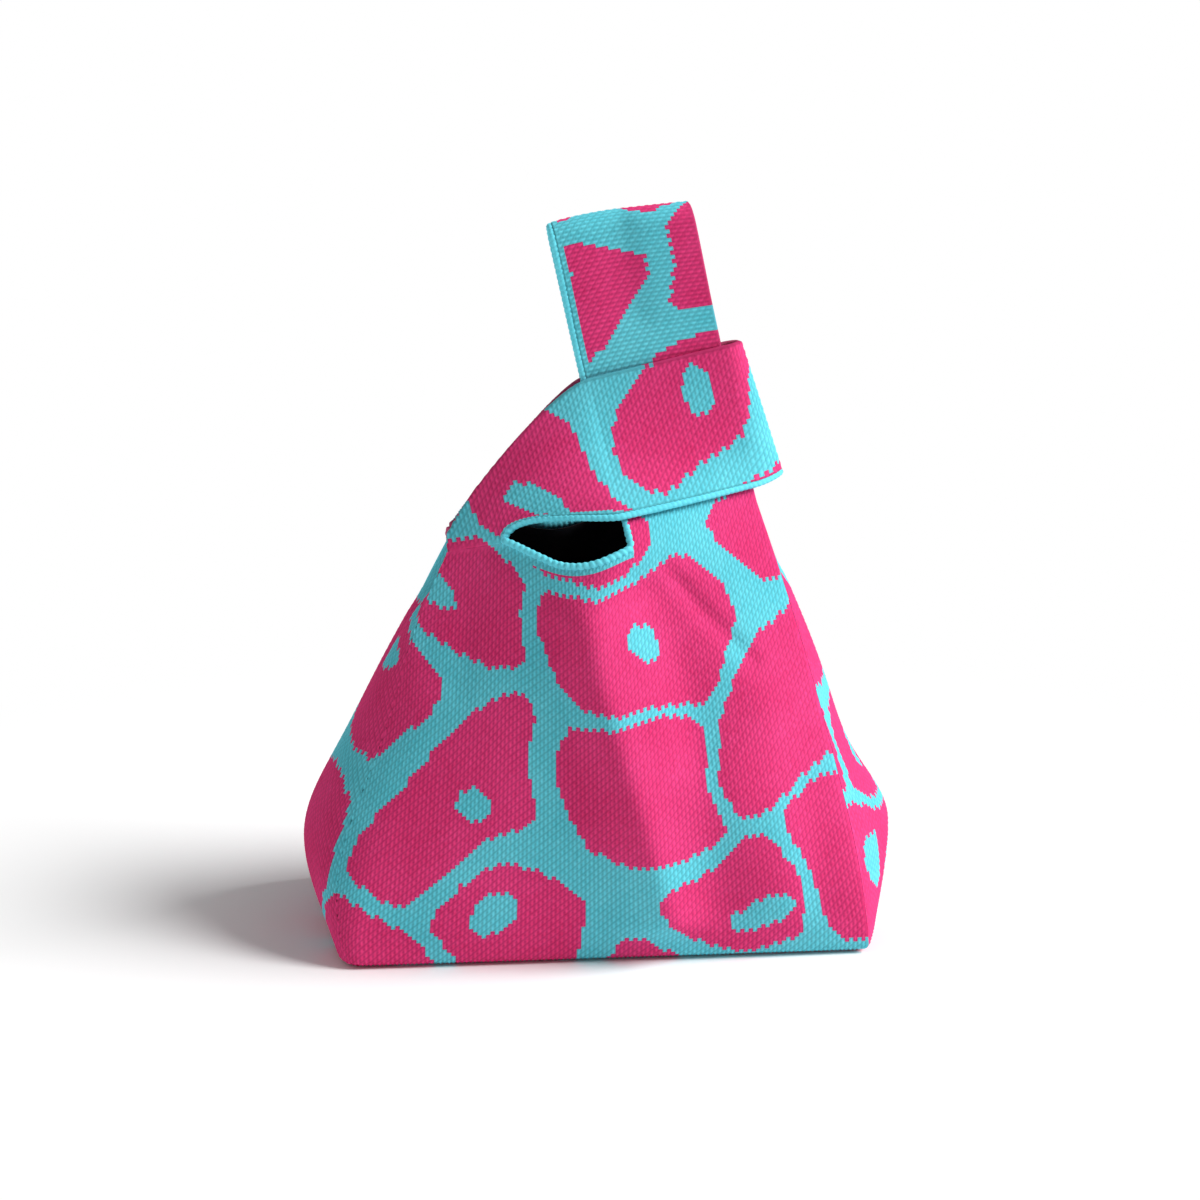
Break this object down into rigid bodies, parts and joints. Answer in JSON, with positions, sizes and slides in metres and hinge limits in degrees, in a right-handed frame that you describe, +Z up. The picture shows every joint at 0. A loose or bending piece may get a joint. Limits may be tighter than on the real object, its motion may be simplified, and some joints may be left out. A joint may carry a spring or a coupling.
{
  "type": "knitted knot tote bag",
  "caption": "Small knitted tote with a flat base and side gussets; its long handle is threaded up through its short handle, which draws the mouth closed.",
  "frame": {"origin": "on the floor, under the middle of the flat base", "axes": "+X to the viewer's right along the bag's width, -Y to the front that carries the crossed handles, +Z up"},
  "size_m": [0.23, 0.1186, 0.279],
  "materials": {
    "jacquard_knit": "matte two-colour knit, pink with turquoise",
    "edging": "matte turquoise edge stitches",
    "lining": "matte black lining",
    "linking_yarn": "matte pink linking yarn"
  },
  "bodies": {
    "bag": {"base_panel": "jacquard_knit", "front_panel": "jacquard_knit", "back_panel": "jacquard_knit", "left_gusset": "jacquard_knit", "right_gusset": "jacquard_knit", "lining": "lining", "front_left_seam": "linking_yarn", "front_right_seam": "linking_yarn", "back_left_seam": "linking_yarn", "back_right_seam": "linking_yarn", "base_front_seam": "linking_yarn", "base_right_seam": "linking_yarn", "base_back_seam": "linking_yarn", "base_left_seam": "linking_yarn", "short_handle_front": "jacquard_knit", "short_handle_back": "jacquard_knit", "short_handle_front_edging": "edging", "short_handle_back_edging": "edging", "long_handle_front": "jacquard_knit", "long_handle_back": "jacquard_knit", "long_handle_front_edging": "edging", "long_handle_back_edging": "edging", "mouth_front_edging": "edging", "mouth_back_edging": "edging"},
    "short_loop": {"short_handle_loop": "jacquard_knit", "short_handle_loop_edging": "edging"},
    "carry": {"carry_loop": "jacquard_knit", "carry_loop_edging": "edging"}
  },
  "joints": [
    {"name": "short_loop_slide", "type": "slide", "parent": "bag", "child": "short_loop", "axis": [-0.225, 0, 0.9744], "range_m": [0, 0.008]},
    {"name": "carry_loop_swing", "type": "hinge", "parent": "bag", "child": "carry", "pos_m": [0.0184, 0, 0.23436], "axis": [0.9744, 0, 0.225], "range_deg": [-75, 75]}
  ]
}
